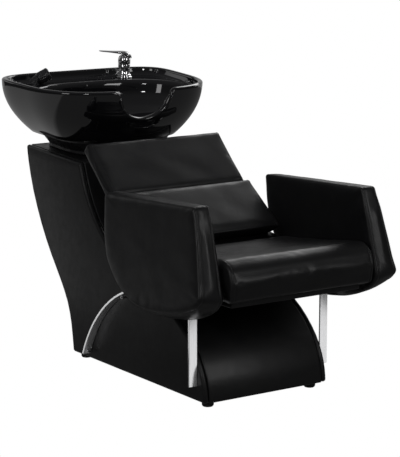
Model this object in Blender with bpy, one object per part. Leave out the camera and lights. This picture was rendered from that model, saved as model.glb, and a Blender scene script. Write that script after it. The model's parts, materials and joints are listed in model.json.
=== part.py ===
"""Shampoo backwash unit: an upholstered carcass with a seat, two arms and a reclined back, and on
top of the column a tilting basin with its mixer, hand shower, waste and hoses.

Metres, +Z up. The sitter faces -Y and the basin is at +Y. The origin is on the floor, under the
middle of the object. The basin and everything on it are drawn in a frame of their own, the basin
frame: its origin is the middle of the rim's plane, which slopes up to the rear by BASIN_SLOPE.
"""

from math import atan2, cos, pi, radians, sin, tan

import bmesh
import bpy
from mathutils import Matrix, Vector

GAP = 0.0004  # clearance between pieces that touch

# Carcass: two side panels with the front, rear, top and floor boards between them.
CARCASS_HALF_WIDTH = 0.243
SIDE_PANEL = 0.020
BOARD = 0.014
CARCASS_BOTTOM = 0.020
FRONT_SPLIT = 9  # the point of the front edge where the plinth's board meets the column's
REAR_SPLIT = 4  # the point of the rear edge above which the rear board is fixed
REAR_EDGE = [  # from the floor to the top
    (0.313, 0.020), (0.327, 0.115), (0.352, 0.190), (0.400, 0.262), (0.462, 0.340),
    (0.527, 0.438), (0.583, 0.552), (0.615, 0.655), (0.624, 0.7114),
]
FRONT_EDGE = [  # from the top down the column, under the seat and down the plinth
    (0.254, 0.692), (0.241, 0.652), (0.215, 0.594), (0.178, 0.535), (0.129, 0.479),
    (0.060, 0.422), (-0.030, 0.366), (-0.100, 0.338), (-0.170, 0.320), (-0.250, 0.300),
    (-0.329, 0.268), (-0.395, 0.222), (-0.447, 0.168), (-0.480, 0.112), (-0.4955, 0.062),
    (-0.5005, 0.020),
]
FOOT_RADIUS = 0.020
FOOT_X = 0.2025
FOOT_Y = (-0.460, 0.2855)
FLOOR_CUTOUT = (0.24, 0.30, -0.02)  # width, depth and middle y of the pipes' way through the floor

# Side bars: one flat bar a side, bent into a front leg, a rail under the seat and a rear arc.
BAR_WIDTH = 0.0295
BAR_INNER_X = 0.2438
BAR_THICKNESS = 0.007
LEG_Y = -0.457
LEG_FOOT_Z = 0.071
LEG_BEND_RADIUS = 0.030
ARC_CENTRE = (-0.260, -0.1525)
ARC_RADIUS = 0.495
ARC_END_ANGLE = 23.0  # degrees above the horizontal, where the arc ends near the floor
RAIL_Z = ARC_CENTRE[1] + ARC_RADIUS
BOLT_RADIUS = 0.0058
BOLT_HEAD_OUT = 0.016
BAR_BOLTS = {"front": (-0.4420, 0.080), "rear_upper": (-0.0405, 0.2798), "rear_lower": (0.1820, 0.0480)}

# Seat
SEAT_HALF_WIDTH = 0.280
SEAT_BOTTOM = 0.3803
SEAT_PROFILE = [
    (-0.196, SEAT_BOTTOM), (-0.686, SEAT_BOTTOM), (-0.6935, 0.388), (-0.6995, 0.425), (-0.6975, 0.458),
    (-0.687, 0.484), (-0.668, 0.500), (-0.640, 0.506), (-0.560, 0.500), (-0.430, 0.484),
    (-0.300, 0.467), (-0.222, 0.457), (-0.202, 0.446), (-0.194, 0.425),
]
BEAM = 0.030
BEAM_THICKNESS = 0.012
BEAM_Y = {"front": -0.400, "rear": -0.235}
SEAT_BOARD_THICKNESS = 0.021
SEAT_BOARD = (0.250, -0.655, -0.136)  # half width, front y, rear y
REAR_RAIL = (0.284, -0.188, -0.138, 0.4450)  # half width, front y, rear y, top

# Arms: the outline of the inner face, and how far the outer face flares from it.
ARM_INNER_X = 0.2932
ARM_TOP_THICKNESS = 0.0576
ARM_FLARE = 0.125  # outward run of the outer face for each metre down
ARM_TOP_FRONT = (-0.608, 0.6765)
ARM_TOP_REAR = (-0.089, 0.650)
ARM_FRONT_EDGE = [(-0.626, 0.617), (-0.649, 0.537), (-0.664, 0.470), (-0.684, 0.386)]
ARM_BOTTOM_EDGE = [
    (-0.655, 0.350), (-0.590, 0.317), (-0.519, 0.295), (-0.459, 0.285), (-0.398, 0.279),
    (-0.330, 0.282), (-0.268, 0.303), (-0.203, 0.350), (-0.155, 0.408), (-0.122, 0.468),
    (-0.102, 0.535), (-0.093, 0.600),
]
ARM_BOTTOM_RISE = 0.042  # the outer face's lower edge is this much higher than the inner face's
BRACKET = (0.2738, 0.0185, -0.450, -0.200, 0.302, 0.372)  # inner x, thickness, y and z extents

# Back: two cushions on one board, reclined; the lower one is a wedge
BACK_FOOT = (-0.005, 0.617)  # lower front edge of the upper slab
BACK_ANGLE = 43.8
UPPER_LENGTH = 0.228
UPPER_THICKNESS = 0.045
LOWER_LENGTH = 0.200
LOWER_FACE = ((-0.2385, 0.0576), (-0.004, 0.0260))  # foot and top: how far up the back, how far in front
SLAB_GAP = 0.004
SLAB_HALF_WIDTH = 0.268
BACK_BOARD = (0.236, 0.012)  # half width, thickness
BACK_BRACKET_X = 0.150
BACK_BRACKET_THICKNESS = 0.006

# Basin frame
BASIN_SLOPE = 3.0
RIM_CENTRE = (0.0, 0.451, 0.943)
COLUMN_TOP = -0.2400

# Basin, in the basin frame
RIM_HALF_WIDTH = 0.3357
RIM_HALF_DEPTH = 0.2507
RIM_TAPER = 0.04  # the rim is wider towards the rear by this share
RIM_FRONT_POWER = 2.8
RIM_REAR_POWER = 5.0
SKIRT_DEPTH = 0.186
SKIRT_TUCK = 0.28  # how much smaller the skirt is at its foot
SKIRT_WALL = 0.011
RIM_WALL = 0.017
DECK_Z = -0.030
DECK_THICKNESS = 0.012
BASIN_LEVELS = [  # z, half width, front y, rear y
    (-0.0300, 0.300, -0.232, 0.150), (-0.0800, 0.290, -0.224, 0.144), (-0.1150, 0.262, -0.200, 0.126),
    (-0.1400, 0.212, -0.160, 0.098), (-0.1540, 0.150, -0.108, 0.076), (-0.1590, 0.088, -0.058, 0.054),
]
BASIN_WALL = 0.011
BASIN_POWER = 2.6
NOTCH_HALF_WIDTH = 0.1056
NOTCH_DEPTH = 0.099
RING_POINTS = 44

# Waste
DRAIN_Y = 0.0
DRAIN_HOLE = 0.024
DRAIN_HOSE = 0.036

# Tilt: the pin in the basin frame, and what it carries
PIN_Y = -0.050
PIN_Z = -0.206
PIN_RADIUS = 0.006
LUG_X = 0.102
EAR_X = 0.092
PLATE_THICKNESS = 0.006

# Mixer, hand shower and hoses, in the basin frame
MIXER = (0.180, 0.190)
LEVER_TURN = 160.0  # where the lever points, seen from above, from +X
LEVER_AXIS = (-0.018, 0.0, 0.0725)  # the axis it lifts about, along the lever and above the deck
SHOWER = (-0.205, 0.186)
SHOWER_LEAN = Vector((0.60, -0.10, 0.79)).normalized()
SHANK_RADIUS = 0.0188
SHANK_BORE = 0.0155
SUPPLY_HOSE = 0.011
SHOWER_HOSE = 0.012

SLOPE = Matrix.Rotation(radians(BASIN_SLOPE), 4, "X")
BASIN_FRAME = Matrix.Translation(RIM_CENTRE) @ SLOPE

MATERIALS = {  # base colour, roughness, metallic
    "black_leatherette": ((0.022, 0.022, 0.024), 0.42, 0.0),
    "plywood": ((0.52, 0.38, 0.22), 0.70, 0.0),
    "satin_chrome": ((0.76, 0.76, 0.77), 0.22, 1.0),
    "black_steel": ((0.03, 0.03, 0.03), 0.50, 0.6),
    "black_rubber": ((0.02, 0.02, 0.02), 0.75, 0.0),
    "black_ceramic": ((0.008, 0.008, 0.010), 0.06, 0.0),
    "chrome": ((0.85, 0.85, 0.86), 0.06, 1.0),
    "black_plastic": ((0.015, 0.015, 0.016), 0.35, 0.0),
    "braided_steel": ((0.60, 0.60, 0.61), 0.40, 0.9),
}


def material(name):
    """The named material, made once as a Principled BSDF."""
    if name in bpy.data.materials:
        return bpy.data.materials[name]
    colour, roughness, metallic = MATERIALS[name]
    made = bpy.data.materials.new(name)
    made.use_nodes = True
    shader = made.node_tree.nodes["Principled BSDF"]
    shader.inputs["Base Color"].default_value = (*colour, 1.0)
    shader.inputs["Roughness"].default_value = roughness
    shader.inputs["Metallic"].default_value = metallic
    return made


def clear_scene():
    for obj in list(bpy.data.objects):
        bpy.data.objects.remove(obj)


def empty(name, location, parent=None):
    """An empty on a joint's axis, which its pieces hang from."""
    made = bpy.data.objects.new(name, None)
    bpy.context.collection.objects.link(made)
    made.empty_display_size = 0.03
    made.location = Vector(location) - (parent_origin(parent) if parent else Vector())
    made.parent = parent
    return made


def parent_origin(parent):
    """Where an empty is in the world, adding up its parents."""
    origin = Vector(parent.location)
    while parent.parent:
        parent = parent.parent
        origin += parent.location
    return origin


def add(name, shape, finish, frame=None, pivot=None, smooth=None):
    """One object from a bmesh. frame carries its points to the world, and pivot is its empty."""
    if frame is not None:
        bmesh.ops.transform(shape, matrix=frame, verts=shape.verts)
    bmesh.ops.recalc_face_normals(shape, faces=shape.faces)
    if pivot is not None:
        bmesh.ops.translate(shape, vec=-parent_origin(pivot), verts=shape.verts)
    mesh = bpy.data.meshes.new(name)
    shape.to_mesh(mesh)
    shape.free()
    if smooth is not None:
        mesh.shade_smooth()
        mesh.set_sharp_from_angle(angle=radians(smooth))
    mesh.materials.append(material(finish))
    made = bpy.data.objects.new(name, mesh)
    bpy.context.collection.objects.link(made)
    made.parent = pivot
    return made


def join(target, other, operation):
    """A Boolean on target. The other object is kept as a hidden guide."""
    other.hide_render = True
    other.display_type = "WIRE"
    modifier = target.modifiers.new(other.name, "BOOLEAN")
    modifier.operation = operation
    modifier.object = other
    return target


def round_edges(obj, width, segments=2, angle=30):
    modifier = obj.modifiers.new("Bevel", "BEVEL")
    modifier.width = width
    modifier.segments = segments
    modifier.limit_method = "ANGLE"
    modifier.angle_limit = radians(angle)
    return obj


def smooth_path(points, steps):
    """Points on a Catmull-Rom curve through the given ones, with steps to each span."""
    ends = [2 * Vector(points[0]) - Vector(points[1]), 2 * Vector(points[-1]) - Vector(points[-2])]
    knots = [ends[0], *map(Vector, points), ends[1]]
    path = []
    for a, b, c, d in zip(knots, knots[1:], knots[2:], knots[3:]):
        for step in range(steps):
            t = step / steps
            path.append(0.5 * (2 * b + (c - a) * t + (2 * a - 5 * b + 4 * c - d) * t**2
                               + (3 * b - a - 3 * c + d) * t**3))
    return [*path, knots[-2]]


def offset_path(path, distance):
    """The path moved to its left by the distance."""
    moved = []
    for i, point in enumerate(path):
        along = path[min(i + 1, len(path) - 1)] - path[max(i - 1, 0)]
        along.normalize()
        moved.append(Vector((point.x - distance * along.y, point.y + distance * along.x)))
    return moved


def strip(path, thickness):
    """The closed outline of a board that lies to the left of a path."""
    return [*path, *reversed(offset_path(path, thickness))]


def extrude_x(outline, low, high):
    """A bmesh of a (y, z) outline, extruded from one x to another."""
    shape = bmesh.new()
    rings = [[shape.verts.new((x, p[0], p[1])) for p in outline] for x in (low, high)]
    bridge(shape, rings)
    return shape


def bridge(shape, rings):
    """Quads between each ring and the next, and a face over each end."""
    for lower, upper in zip(rings, rings[1:]):
        for i in range(len(lower)):
            j = (i + 1) % len(lower)
            shape.faces.new((lower[i], lower[j], upper[j], upper[i]))
    shape.faces.new(rings[0])
    shape.faces.new(rings[-1])


def loft(rings):
    shape = bmesh.new()
    bridge(shape, [[shape.verts.new(point) for point in ring] for ring in rings])
    return shape


def block(low, high):
    """A box from its lowest to its highest corner."""
    size = Vector(high) - Vector(low)
    middle = (Vector(high) + Vector(low)) / 2
    shape = bmesh.new()
    bmesh.ops.create_cube(shape, size=1.0, matrix=Matrix.Translation(middle) @ Matrix.Diagonal((*size, 1)))
    return shape


def turned(profile, sides, frame=None):
    """A solid of revolution about z from (radius, z) points, bottom to top, closed on the axis."""
    rings = [[(r * cos(2 * pi * i / sides), r * sin(2 * pi * i / sides), z) for i in range(sides)]
             for r, z in profile]
    shape = loft(rings)
    if frame is not None:
        bmesh.ops.transform(shape, matrix=frame, verts=shape.verts)
    return shape


def ring_solid(outer, inner, low, high, sides):
    """A washer about z."""
    shape = bmesh.new()
    circles = []
    for radius, z in ((outer, low), (outer, high), (inner, high), (inner, low)):
        circles.append([shape.verts.new((radius * cos(2 * pi * i / sides), radius * sin(2 * pi * i / sides), z))
                        for i in range(sides)])
    for a, b in zip(circles, circles[1:] + circles[:1]):
        for i in range(sides):
            j = (i + 1) % sides
            shape.faces.new((a[i], a[j], b[j], b[i]))
    return shape


def hex_nut(corner_radius, bore, low, high):
    """A hexagonal nut about z with a round bore."""
    shape = ring_solid(corner_radius, bore, low, high, 24)
    for vert in shape.verts:
        if vert.co.xy.length > (corner_radius + bore) / 2:
            angle = atan2(vert.co.y, vert.co.x) % (pi / 3)
            vert.co.xy *= cos(pi / 6) / cos(angle - pi / 6)
    return shape


def along(direction, origin):
    """A frame at origin whose z axis is the direction."""
    turn = Vector(direction).to_track_quat("Z", "Y").to_matrix().to_4x4()
    return Matrix.Translation(origin) @ turn


def tube(name, route, diameter, finish, pivot, sides=8):
    """A hose as a mesh tube along a smooth curve through the route's points."""
    path = smooth_path([BASIN_FRAME @ Vector(p) for p in route], 3)
    shape = bmesh.new()
    rings = []
    for i, point in enumerate(path):
        ahead = (path[min(i + 1, len(path) - 1)] - path[max(i - 1, 0)]).normalized()
        across = ahead.cross(Vector((1.0, 0.0, 0.0))).normalized()
        other = ahead.cross(across)
        rings.append([
            shape.verts.new(point + diameter / 2 * (cos(2 * pi * k / sides) * across
                                                    + sin(2 * pi * k / sides) * other))
            for k in range(sides)
        ])
    bridge(shape, rings)
    return add(name, shape, finish, pivot=pivot, smooth=50)


# ---------------------------------------------------------------------------------- carcass


def shortened(path, at_start, at_end):
    """The path with its first and last points moved inwards by the two distances."""
    first = path[0] + (path[1] - path[0]).normalized() * at_start
    last = path[-1] + (path[-2] - path[-1]).normalized() * at_end
    return [first, *path[1:-1], last]


def carcass():
    """Two side panels, and between them boards that follow their front, rear and top edges."""
    rear = smooth_path(REAR_EDGE, 2)
    front = smooth_path(FRONT_EDGE, 2)
    inner = CARCASS_HALF_WIDTH - SIDE_PANEL
    for side, sign in (("left", -1), ("right", 1)):
        panel = extrude_x([*rear, *front], sign * inner, sign * CARCASS_HALF_WIDTH)
        add(f"side_panel_{side}", panel, "black_leatherette")
    split = 0.0012
    paths = {
        "column_front_panel": shortened(front[: 2 * FRONT_SPLIT + 1], 0, split),
        "plinth_front_panel": shortened(front[2 * FRONT_SPLIT:], split, 0),
        "rear_access_panel": shortened(rear[: 2 * REAR_SPLIT + 1], 0, split),
        "rear_panel": shortened(rear[2 * REAR_SPLIT:], split, 0),
    }
    boards = {name: strip(path, BOARD) for name, path in paths.items()}
    slope = tan(radians(BASIN_SLOPE))
    level = Vector((BOARD + 0.001, (BOARD + 0.001) * slope))
    boards["column_front_panel"][-1] = front[0] + level
    boards["rear_panel"][len(paths["rear_panel"])] = rear[-1] - level
    width = inner - GAP
    for name, outline in boards.items():
        add(name, extrude_x(outline, -width, width), "black_leatherette", smooth=30)
    inset = BOARD + 0.002
    top_front = front[0] + Vector((inset, inset * slope))
    top_rear = rear[-1] - Vector((inset, inset * slope))
    outline = [top_front, top_rear, top_rear - Vector((0.004, BOARD)), top_front - Vector((0.0, BOARD))]
    top = add("top_board", extrude_x(outline, -width, width), "black_leatherette")
    way = block((-0.088, -0.035, -0.30), (0.088, 0.118, -0.20))
    join(top, add("top_board_cutout", way, "plywood", frame=BASIN_FRAME), "DIFFERENCE")
    floor_board()


def floor_board():
    """The bottom board, with a way through it for the pipes."""
    low = CARCASS_BOTTOM + GAP
    front = FRONT_EDGE[-1][0] + BOARD + 0.003
    rear = REAR_EDGE[0][0] - BOARD - 0.001
    half = CARCASS_HALF_WIDTH - SIDE_PANEL - GAP
    board = add("floor_board", block((-half, front, low), (half, rear, low + BOARD)), "plywood")
    width, depth, middle = FLOOR_CUTOUT
    way = block((-width / 2, middle - depth / 2, 0.0), (width / 2, middle + depth / 2, 0.06))
    join(board, add("floor_cutout", way, "plywood"), "DIFFERENCE")
    for end, y in zip(("front", "rear"), FOOT_Y):
        for side, sign in (("left", -1), ("right", 1)):
            profile = [(0.016, 0.0), (FOOT_RADIUS - 0.001, 0.004), (FOOT_RADIUS, CARCASS_BOTTOM - GAP)]
            foot = turned(profile, 20, Matrix.Translation((sign * FOOT_X, y, 0.0)))
            add(f"foot_{end}_{side}", foot, "black_rubber", smooth=50)


# ------------------------------------------------------------------------------- side bars


def bar_path():
    """The middle line of a side bar in (y, z): up the leg, back under the seat, down the arc."""
    path = [Vector((LEG_Y, LEG_FOOT_Z)), Vector((LEG_Y, RAIL_Z - LEG_BEND_RADIUS))]
    centre = Vector((LEG_Y + LEG_BEND_RADIUS, RAIL_Z - LEG_BEND_RADIUS))
    for step in range(1, 5):
        angle = radians(180 - 90 * step / 4)
        path.append(centre + LEG_BEND_RADIUS * Vector((cos(angle), sin(angle))))
    for step in range(17):
        angle = radians(90 + (ARC_END_ANGLE - 90) * step / 16)
        path.append(Vector(ARC_CENTRE) + ARC_RADIUS * Vector((cos(angle), sin(angle))))
    return path


def side_bars():
    path = bar_path()
    outline = [*offset_path(path, BAR_THICKNESS / 2), *reversed(offset_path(path, -BAR_THICKNESS / 2))]
    for side, sign in (("left", -1), ("right", 1)):
        outer = BAR_INNER_X + BAR_WIDTH
        add(f"side_bar_{side}", extrude_x(outline, sign * BAR_INNER_X, sign * outer), "satin_chrome", smooth=30)
        for place, (y, z) in BAR_BOLTS.items():
            axis = along((sign, 0.0, 0.0), (sign * (CARCASS_HALF_WIDTH + GAP), y, z))
            head = BOLT_HEAD_OUT
            profile = [(BOLT_RADIUS * 0.62, 0.0), (BOLT_RADIUS * 0.62, head - 0.006), (BOLT_RADIUS, head - 0.006),
                       (BOLT_RADIUS, head), (BOLT_RADIUS * 0.8, head + 0.003), (BOLT_RADIUS * 0.3, head + 0.0048)]
            add(f"bar_bolt_{place}_{side}", turned(profile, 14, axis), "chrome", smooth=40)


# ------------------------------------------------------------------------------ seat, arms, back


def seat():
    cushion = extrude_x(SEAT_PROFILE, -SEAT_HALF_WIDTH, SEAT_HALF_WIDTH)
    add("seat_cushion", cushion, "black_leatherette", smooth=30)
    half, front, rear = SEAT_BOARD
    top = SEAT_BOTTOM - GAP
    low = top - SEAT_BOARD_THICKNESS
    add("seat_board", block((-half, front, low), (half, rear, top)), "black_leatherette")
    beam_half = BAR_INNER_X + BAR_WIDTH
    half, front, rear, rail_top = REAR_RAIL
    rail = add("seat_rear_rail", block((-half, front, SEAT_BOTTOM), (half, rear, rail_top)), "black_leatherette")
    round_edges(rail, 0.006)
    for place, y in BEAM_Y.items():
        beam = block((-beam_half, y - BEAM / 2, low - GAP - BEAM_THICKNESS), (beam_half, y + BEAM / 2, low - GAP))
        add(f"seat_beam_{place}", beam, "black_steel")


def arm_outline():
    bottom = smooth_path([ARM_FRONT_EDGE[-1], *ARM_BOTTOM_EDGE, ARM_TOP_REAR], 1)
    front = smooth_path([ARM_TOP_FRONT, *ARM_FRONT_EDGE], 1)
    return [*front[:-1], *bottom]


def arms():
    outline = arm_outline()
    lowest = min(p.y for p in outline)
    flare_from = ARM_TOP_FRONT[1]
    knee = 0.45
    for side, sign in (("left", -1), ("right", 1)):
        inner = [(sign * ARM_INNER_X, p.x, p.y) for p in outline]
        outer = []
        for p in outline:
            share = max(0.0, (knee - p.y) / (knee - lowest))
            z = p.y + ARM_BOTTOM_RISE * share
            x = ARM_INNER_X + ARM_TOP_THICKNESS + ARM_FLARE * (flare_from - z)
            outer.append((sign * x, p.x, z))
        arm = add(f"arm_{side}", loft([inner, outer]), "black_leatherette")
        round_edges(arm, 0.006, 2, 35)
        low, thick, y0, y1, z0, z1 = BRACKET
        ends = sorted((sign * low, sign * (low + thick)))
        add(f"arm_bracket_{side}", block((ends[0], y0, z0), (ends[1], y1, z1)), "black_steel")


def back_point(along_back, off_face):
    """A (y, z) point on the back: how far up from the upper slab's foot, and how far in front."""
    angle = radians(BACK_ANGLE)
    return Vector((BACK_FOOT[0] + along_back * cos(angle) - off_face * sin(angle),
                   BACK_FOOT[1] + along_back * sin(angle) + off_face * cos(angle)))


def back_slab(low, high, rear, front):
    """The outline of a slab between two heights up the back and two depths."""
    return [back_point(low, rear), back_point(low, front), back_point(high, front), back_point(high, rear)]


def back():
    upper = extrude_x(back_slab(0.0, UPPER_LENGTH, -UPPER_THICKNESS, 0.0), -SLAB_HALF_WIDTH, SLAB_HALF_WIDTH)
    round_edges(add("upper_back_cushion", upper, "black_leatherette"), 0.010)
    lower = [back_point(*LOWER_FACE[0]), back_point(*LOWER_FACE[1]),
             back_point(-SLAB_GAP, -UPPER_THICKNESS), back_point(-LOWER_LENGTH, -UPPER_THICKNESS)]
    lower = extrude_x(lower, -SLAB_HALF_WIDTH, SLAB_HALF_WIDTH)
    round_edges(add("lower_back_cushion", lower, "black_leatherette"), 0.012)
    half, thick = BACK_BOARD
    rear = -UPPER_THICKNESS - GAP
    board = back_slab(-LOWER_LENGTH + 0.008, UPPER_LENGTH - 0.030, rear - thick, rear)
    add("back_board", extrude_x(board, -half, half), "black_leatherette")
    for side, sign in (("left", -1), ("right", 1)):
        face = rear - thick - GAP
        outline = [back_point(-0.060, face), back_point(0.090, face), Vector((0.2205, 0.615)),
                   Vector((0.1700, 0.5310))]
        edges = sorted((sign * BACK_BRACKET_X, sign * (BACK_BRACKET_X + BACK_BRACKET_THICKNESS)))
        add(f"back_bracket_{side}", extrude_x(outline, *edges), "black_steel")


# -------------------------------------------------------------------------------- basin


def rim_ring(share, z, inset=0.0):
    """Points round the basin at a height, as a share of the rim's size."""
    ring = []
    for i in range(RING_POINTS):
        angle = 2 * pi * i / RING_POINTS
        c, s = cos(angle), sin(angle)
        power = RIM_REAR_POWER if s > 0 else RIM_FRONT_POWER
        y = (abs(s) ** (2 / power)) * (1 if s > 0 else -1)
        x = (abs(c) ** (2 / power)) * (1 if c > 0 else -1)
        half_width = RIM_HALF_WIDTH * (1 + RIM_TAPER * y) * share - inset
        half_depth = RIM_HALF_DEPTH * share - inset
        ring.append((x * half_width, y * half_depth, z))
    return ring


def skirt_share(depth):
    """The skirt's size at a depth below the rim, as a share of the rim's."""
    return 1 - SKIRT_TUCK * (depth / SKIRT_DEPTH) ** 2.2


def basin_ring(z, half_width, front, rear, grow=0.0, drop=0.0):
    middle = (front + rear) / 2
    half_depth = (rear - front) / 2 + grow
    ring = []
    for i in range(RING_POINTS):
        angle = 2 * pi * i / RING_POINTS
        c, s = cos(angle), sin(angle)
        x = (half_width + grow) * abs(c) ** (2 / BASIN_POWER) * (1 if c > 0 else -1)
        y = half_depth * abs(s) ** (2 / BASIN_POWER) * (1 if s > 0 else -1)
        ring.append((x, middle + y, z - drop))
    return ring


def bowl(pivot):
    depths = [0.0, 0.004, 0.03, 0.07, 0.105, 0.135, 0.162, SKIRT_DEPTH]
    rings = [rim_ring(skirt_share(d), -d, 0.004 if d == 0 else 0.0) for d in reversed(depths)]
    made = add("bowl", loft(rings), "black_ceramic", frame=BASIN_FRAME, pivot=pivot, smooth=35)
    under = [SKIRT_DEPTH + 0.02, SKIRT_DEPTH, 0.15, 0.11, 0.06, 0.018]
    rings = [rim_ring(skirt_share(min(d, SKIRT_DEPTH)), -d, SKIRT_WALL) for d in under]
    hollow = add("skirt_hollow", loft(rings), "black_ceramic", frame=BASIN_FRAME)
    join(made, hollow, "DIFFERENCE")
    shelf = [rim_ring(1.0, DECK_Z - DECK_THICKNESS, 0.0145), rim_ring(1.0, DECK_Z + 0.004, 0.0125)]
    deck = add("deck_slab", loft(shelf), "black_ceramic", frame=BASIN_FRAME)
    join(made, deck, "UNION")
    outer = [basin_ring(*level, grow=BASIN_WALL, drop=BASIN_WALL) for level in reversed(BASIN_LEVELS)]
    outer.append(basin_ring(BASIN_LEVELS[0][0] + 0.003, *BASIN_LEVELS[0][1:], grow=BASIN_WALL))
    shell = add("basin_shell", loft(outer), "black_ceramic", frame=BASIN_FRAME)
    join(made, shell, "UNION")
    recess = [rim_ring(1.0, DECK_Z, RIM_WALL + 0.004), rim_ring(1.0, 0.03, RIM_WALL - 0.004)]
    join(made, add("rim_recess", loft(recess), "black_ceramic", frame=BASIN_FRAME), "DIFFERENCE")
    inner = [basin_ring(*level) for level in reversed(BASIN_LEVELS)]
    inner.append(basin_ring(0.02, *BASIN_LEVELS[0][1:]))
    join(made, add("basin_hollow", loft(inner), "black_ceramic", frame=BASIN_FRAME), "DIFFERENCE")
    join(made, add("neck_cut", neck_cut(), "black_ceramic", frame=BASIN_FRAME), "DIFFERENCE")
    for name, (x, y), radius in (
        ("drain_hole", (0.0, DRAIN_Y), DRAIN_HOLE),
        ("mixer_hole", MIXER, SHANK_RADIUS + 0.0006),
    ):
        drill = turned([(radius, -0.25), (radius, 0.05)], 24, Matrix.Translation((x, y, 0.0)))
        join(made, add(name, drill, "black_ceramic", frame=BASIN_FRAME), "DIFFERENCE")
    at = Vector((*SHOWER, DECK_Z))
    drill = turned([(0.0175, -0.05), (0.0175, 0.03)], 20, along(SHOWER_LEAN, at))
    join(made, add("shower_hole", drill, "black_ceramic", frame=BASIN_FRAME), "DIFFERENCE")
    return made


def neck_cut():
    """A U through the front wall, open at the rim."""
    top = 0.03
    outline = [(NOTCH_HALF_WIDTH + 0.004, top), (NOTCH_HALF_WIDTH, 0.0)]
    for step in range(1, 16):
        angle = pi * step / 16
        outline.append((NOTCH_HALF_WIDTH * cos(angle), -NOTCH_DEPTH * sin(angle) ** 0.85))
    outline += [(-NOTCH_HALF_WIDTH, 0.0), (-NOTCH_HALF_WIDTH - 0.004, top)]
    rings = [[(x, y, z) for x, z in outline] for y in (-0.30, -0.175)]
    return loft(rings)


def waste(pivot, lift):
    """Strainer, flange, locknut and tail of the drain."""
    floor = BASIN_LEVELS[-1][0]
    at = Matrix.Translation((0.0, DRAIN_Y, floor))
    flange = ring_solid(0.034, 0.0205, GAP, 0.003, 24)
    made = add("waste_flange", flange, "chrome", frame=BASIN_FRAME @ at, pivot=pivot, smooth=40)
    body = ring_solid(0.0228, 0.0205, -0.040, 0.002, 24)
    join(made, add("waste_tail", body, "chrome", frame=BASIN_FRAME @ at), "UNION")
    nut = hex_nut(0.033, 0.0234, -0.0225, -0.0130)
    add("waste_locknut", nut, "black_plastic", frame=BASIN_FRAME @ at, pivot=pivot)
    basket = [(0.006, -0.012), (0.015, -0.012), (0.0195, 0.0032), (0.024, 0.0036), (0.024, 0.0048), (0.008, 0.0062)]
    strainer = add("strainer", turned(basket, 20), "chrome", frame=BASIN_FRAME @ at, pivot=lift, smooth=40)
    count = 6
    for i in range(count):
        angle = 2 * pi * i / count
        place = Matrix.Translation((0.0125 * cos(angle), 0.0125 * sin(angle), 0.0))
        hole = add(f"strainer_hole_{i}", turned([(0.0022, -0.03), (0.0022, 0.03)], 8, place), "chrome",
                   frame=BASIN_FRAME @ at)
        join(strainer, hole, "DIFFERENCE")


def pedestal():
    """What the basin tilts on: plate and ears on the column, and the shroud round them."""
    low = COLUMN_TOP + GAP
    plate = block((-0.135, -0.118, low), (0.135, 0.118, low + PLATE_THICKNESS))
    made = add("pedestal_plate", plate, "black_steel", frame=BASIN_FRAME)
    way = block((-0.085, -0.030, low - 0.02), (0.085, 0.112, low + 0.02))
    join(made, add("plate_cutout", way, "black_steel", frame=BASIN_FRAME), "DIFFERENCE")
    for sign in (-1, 1):
        xs = sorted((sign * EAR_X, sign * (EAR_X + 0.005)))
        outline = [(PIN_Y - 0.030, low + 0.003), (PIN_Y + 0.030, low + 0.003)]
        for step in range(7):
            angle = pi * step / 6
            outline.append((PIN_Y + 0.012 * cos(angle), PIN_Z + 0.012 * sin(angle)))
        ear = add(f"ear_{sign}", extrude_x(outline, *xs), "black_steel", frame=BASIN_FRAME)
        join(made, ear, "UNION")
    join(made, pin_drill("ear_drill"), "DIFFERENCE")
    shroud()


def pin_drill(name):
    drill = turned([(PIN_RADIUS + 0.0003, -0.20), (PIN_RADIUS + 0.0003, 0.20)], 20,
                   along((1.0, 0.0, 0.0), (0.0, PIN_Y, PIN_Z)))
    return add(name, drill, "black_steel", frame=BASIN_FRAME)


def shroud_ring(z, half_width, front, rear, rise=0.0):
    """The shroud's outline at a height, which may rise to the rear."""
    ring = []
    for i in range(32):
        angle = 2 * pi * i / 32
        c, s = cos(angle), sin(angle)
        power = RIM_REAR_POWER if s > 0 else RIM_FRONT_POWER
        x = half_width * abs(c) ** (2 / power) * (1 if c > 0 else -1)
        half_depth = (rear - front) / 2
        y = (front + rear) / 2 + half_depth * abs(s) ** (2 / power) * (1 if s > 0 else -1)
        ring.append((x, y, z + rise * (y - front)))
    return ring


def shroud():
    """A black skirt from the column's top up into the basin's skirt, higher at the rear."""
    low = COLUMN_TOP + GAP
    wall = 0.004
    levels = [(low, 0.186, -0.158, 0.146, 0.0), (low + 0.004, 0.190, -0.160, 0.148, 0.0),
              (low + 0.012, 0.188, -0.154, 0.146, 0.0), (-0.196, 0.215, -0.158, 0.148, 0.0),
              (-0.178, 0.219, -0.157, 0.148, 0.10)]
    outer = [shroud_ring(*level) for level in levels]
    made = add("pedestal_shroud", loft(outer), "black_plastic", frame=BASIN_FRAME, smooth=40)
    inner = [shroud_ring(z, w - wall, f + wall, r - wall, slope) for z, w, f, r, slope in levels]
    inner[0] = [(x, y, z - 0.01) for x, y, z in inner[0]]
    inner[-1] = [(x, y, z + 0.01) for x, y, z in inner[-1]]
    join(made, add("shroud_hollow", loft(inner), "black_plastic", frame=BASIN_FRAME), "DIFFERENCE")


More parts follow.
